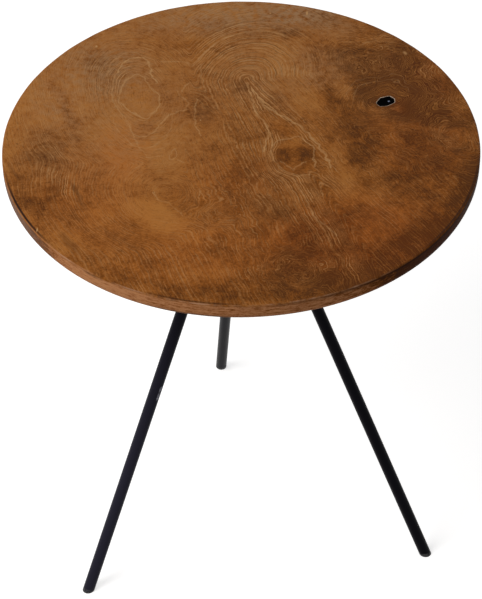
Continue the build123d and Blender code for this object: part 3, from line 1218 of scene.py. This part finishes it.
def one_screw(bm, centre, head_radius, shank_radius, low_z, high_z, turn):
    """One screw, head down at low_z, with its recess turned by an angle."""

    def ring(radius, z):
        spots = [centre + Vector((math.cos(a), math.sin(a))) * radius for a in angles(SCREW_SEGMENTS)]
        return loop(bm, [(*spot, z) for spot in spots])

    def cross(share, z):
        reach = SCREW_RECESS_REACH * share
        arm = SCREW_RECESS_ARM * (SCREW_ARM_KEPT + (1 - SCREW_ARM_KEPT) * share)
        quarter = ((reach, -arm), (reach, arm), (arm, arm))
        corners = []
        for k in range(4):
            spin = Matrix.Rotation(turn + k * math.pi / 2, 2)
            corners += [centre + spin @ Vector(corner) for corner in quarter]
        return loop(bm, [(*corner, z) for corner in corners])

    face = ring(head_radius - SCREW_EDGE, low_z)
    levels = [
        face,
        ring(head_radius, low_z + SCREW_EDGE),
        ring(shank_radius, PLATE_HIGH.z),
        ring(shank_radius, high_z - (high_z - PLATE_HIGH.z) * SCREW_TIP_SHARE),
        ring(SCREW_TIP_RADIUS, high_z),
    ]
    for lower, upper in zip(levels, levels[1:]):
        bridge(bm, lower, upper)
    bm.faces.new(levels[-1])
    mouth = cross(1.0, low_z)
    depth = cross(SCREW_RECESS_FLOOR, low_z + SCREW_RECESS_DEPTH)
    bridge(bm, mouth, depth, smooth=False)
    bm.faces.new(depth)
    fill(bm, [face, mouth], [], low_z)


def camera():
    """The photograph's camera."""
    data = bpy.data.cameras.new("camera")
    data.sensor_fit = "AUTO"
    data.sensor_width = SENSOR_SIZE_MM
    data.lens = SENSOR_SIZE_MM * FOCAL_LENGTH_PX / PHOTO_HEIGHT_PX
    data.shift_x = (PHOTO_WIDTH_PX / 2 - OPTICAL_CENTRE_PX[0]) / PHOTO_HEIGHT_PX
    data.shift_y = (OPTICAL_CENTRE_PX[1] - PHOTO_HEIGHT_PX / 2) / PHOTO_HEIGHT_PX
    data.clip_end = CAMERA_REACH
    bearing = Matrix.Rotation(CAMERA_BEARING + math.pi / 2, 4, "Z")
    tilt = Matrix.Rotation(math.pi / 2 - CAMERA_ELEVATION, 4, "X")
    away = Matrix.Translation((AIM_RIGHT, 0.0, CAMERA_DISTANCE)) @ Matrix.Rotation(CAMERA_ROLL, 4, "Z")
    made = bpy.data.objects.new("camera", data)
    made.matrix_world = Matrix.Translation((0.0, 0.0, AIM_HEIGHT)) @ bearing @ tilt @ away
    bpy.context.scene.collection.objects.link(made)
    bpy.context.scene.camera = made


# Studio: the lights share an aim and a width, and each has a place, watts and a colour
LIGHT_AIM = (0.0, 0.0, 0.4)
LIGHT_WIDTH = 1.6
LIGHTS = (
    ("key", (-1.65, -0.7, 2.05), 42.0, (1.0, 0.985, 0.96)),
    ("back", (-2.0, 2.6, 1.9), 24.0, (0.97, 0.98, 1.0)),
)
FLOOR_RADIUS = 14.0
FLOOR_SEGMENTS = 96
FLOOR_TINT_SIZE_MM = 900.0
FLOOR_TINTS = ((0.70, 0.70, 0.70), (0.72, 0.72, 0.72))
# The floor's glow near the table and far from it, and how far off those two are
FLOOR_GLOW = (0.6, 0.78)
FLOOR_GLOW_REACH_MM = (800.0, 5000.0)
WHITE = (1.0, 1.0, 1.0, 1.0)
# Light that the white surroundings give, as a share of how white they look
WORLD_LIGHT = 0.36


def area_light(name, place, watts, colour):
    data = bpy.data.lights.new(name, "AREA")
    data.shape = "DISK"
    data.size = LIGHT_WIDTH
    data.energy = watts
    data.color = colour
    made = bpy.data.objects.new(name, data)
    made.location = place
    made.rotation_euler = (Vector(LIGHT_AIM) - Vector(place)).to_track_quat("-Z", "Y").to_euler()
    bpy.context.scene.collection.objects.link(made)


def studio():
    """White floor and surroundings, soft light from the left and a weaker one from behind."""
    bpy.ops.mesh.primitive_circle_add(vertices=FLOOR_SEGMENTS, radius=FLOOR_RADIUS, fill_type="NGON")
    floor = bpy.context.object
    floor.name = "studio_floor"
    mat = Shade("studio_floor")
    seen = mat.node("LightPath", {}).outputs
    direct = mat.math("MAXIMUM", seen["Is Camera Ray"], seen["Is Glossy Ray"])
    place = mat.object_mm()
    glow = mat.step(mat.length(place), *FLOOR_GLOW_REACH_MM, *FLOOR_GLOW)
    floor.data.materials.append(mat.finish({
        "Base Color": mat.mix(mat.noise(place, FLOOR_TINT_SIZE_MM), *FLOOR_TINTS),
        "Roughness": 0.9,
        "Specular IOR Level": 0.0,
        "Emission Color": WHITE,
        "Emission Strength": mat.times(direct, glow),
    }))
    for light in LIGHTS:
        area_light(*light)

    world = bpy.data.worlds.new("studio_world")
    bpy.context.scene.world = world
    sky = Nodes(world)
    seen = sky.node("LightPath", {}).outputs
    direct = sky.math("MAXIMUM", seen["Is Camera Ray"], seen["Is Glossy Ray"])
    direct = sky.math("MAXIMUM", direct, seen["Is Transmission Ray"])
    strength = sky.node("MapRange", {"Value": direct, "To Min": WORLD_LIGHT, "To Max": 1.0})
    light = sky.node("Background", {"Color": WHITE, "Strength": strength.outputs["Result"]})
    sky.node("OutputWorld", {"Surface": light.outputs["Background"]})
    bpy.context.scene.view_settings.view_transform = "Standard"


def dress_node(name, material):
    """Give a CAD node its finish."""
    node = frame["nodes"][name]
    node.data.materials.clear()
    node.data.materials.append(material)


WOOD = figured_wood()
LIP = bare_lip()
RESIN = black_resin()
STEEL = powder_coat()
ZINC = zinc_plate()
NYLON = glide_nylon()

camera()
studio()
top_slab()
knot_resin()
plate_screws()
dress_node("mounting_plate", STEEL)
for side in SIDES:
    weld_bead(side)
    dress_node("leg_socket_" + side, STEEL)
    dress_node("leg_" + side, STEEL)
    dress_node("leg_stud_" + side, ZINC)
    dress_node("foot_glide_" + side, NYLON)
